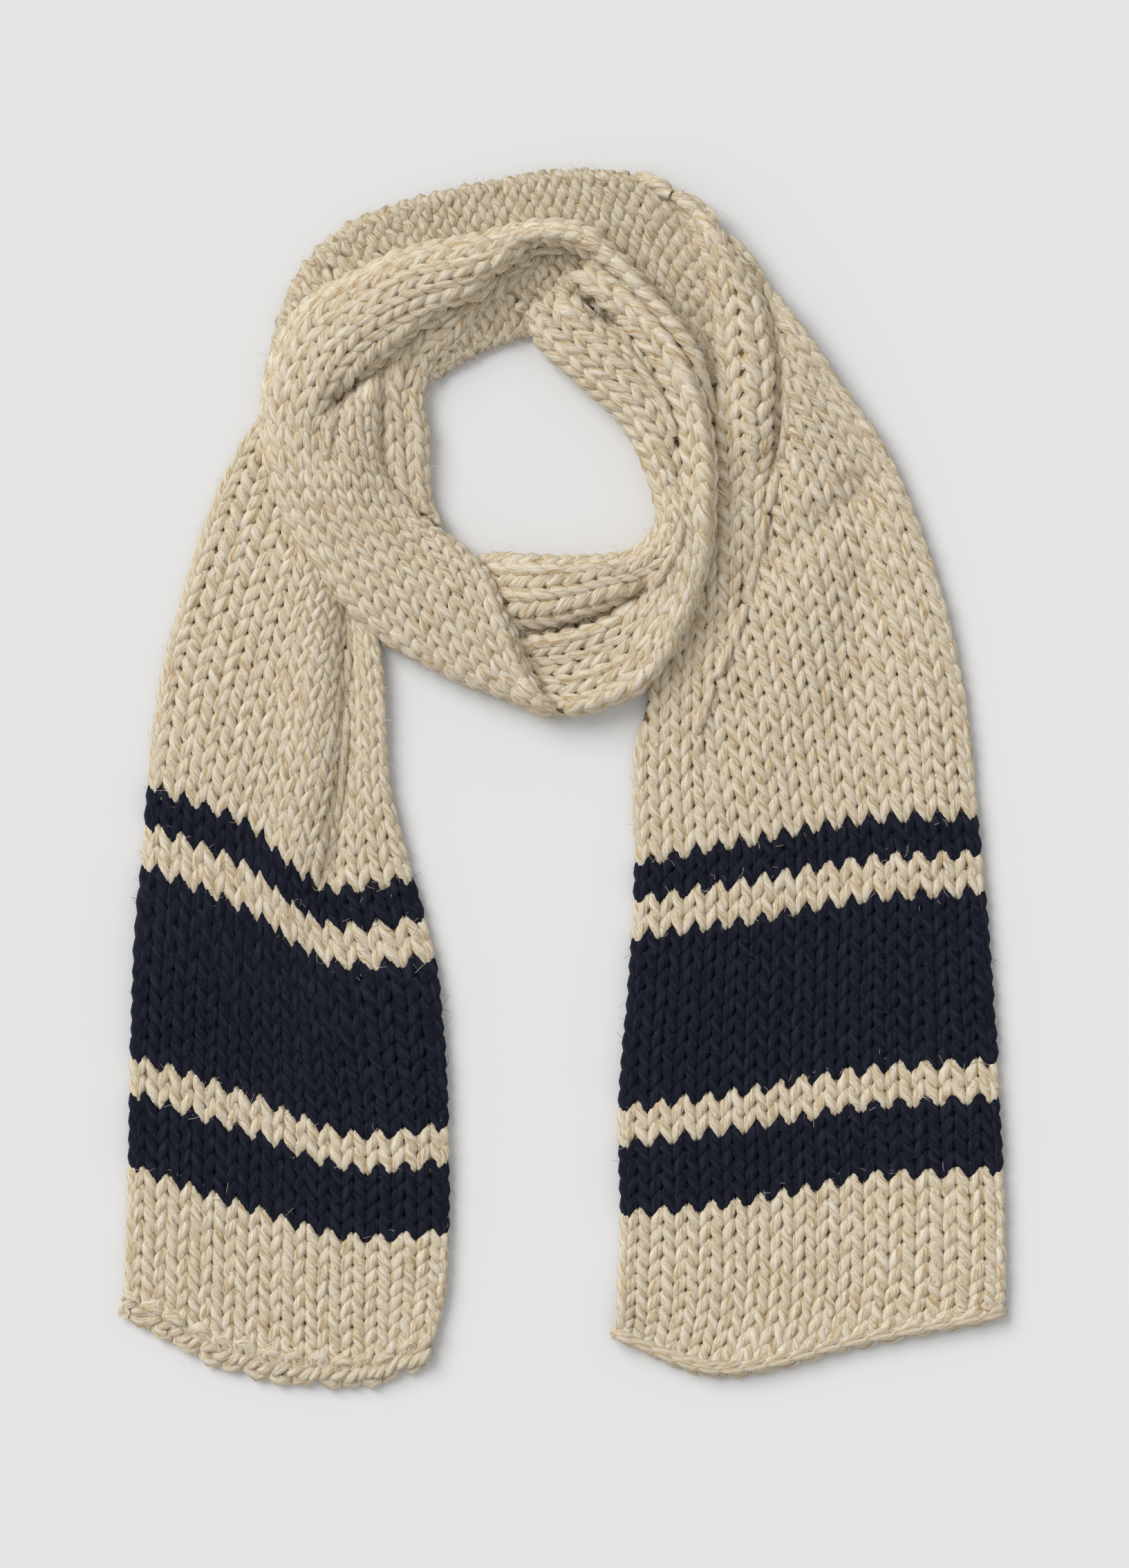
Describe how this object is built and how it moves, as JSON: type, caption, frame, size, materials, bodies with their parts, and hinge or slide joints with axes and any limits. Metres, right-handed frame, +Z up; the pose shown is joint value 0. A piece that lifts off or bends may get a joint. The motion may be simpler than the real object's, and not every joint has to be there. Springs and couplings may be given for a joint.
{
  "type": "knit scarf",
  "caption": "Chunky striped knit scarf lying flat, wound once into a ring with a neck opening and two hanging tails.",
  "frame": {"origin": "centre of the scarf's bounding box, on the surface that it rests on", "axes": "+Z up out of the cloth, +Y from the hems towards the ring, +X from the left tail to the right tail"},
  "size_m": [0.4797, 0.6614, 0.0349],
  "materials": {
    "cream_yarn_tail_left": "brushed wool yarn, matte, with knitted navy stripes",
    "cream_yarn_tail_right": "brushed wool yarn, matte, with knitted navy stripes",
    "cream_yarn_band_back": "brushed wool yarn, matte, purl side",
    "cream_yarn_ring_inner": "brushed wool yarn, matte",
    "cream_yarn_ring_right": "brushed wool yarn, matte",
    "cream_yarn_ring_left": "brushed wool yarn, matte"
  },
  "bodies": {
    "root": {"tail_left": "cream_yarn_tail_left", "tail_right": "cream_yarn_tail_right", "band_back": "cream_yarn_band_back", "ring_inner": "cream_yarn_ring_inner", "ring_right": "cream_yarn_ring_right", "ring_left": "cream_yarn_ring_left"}
  },
  "joints": []
}
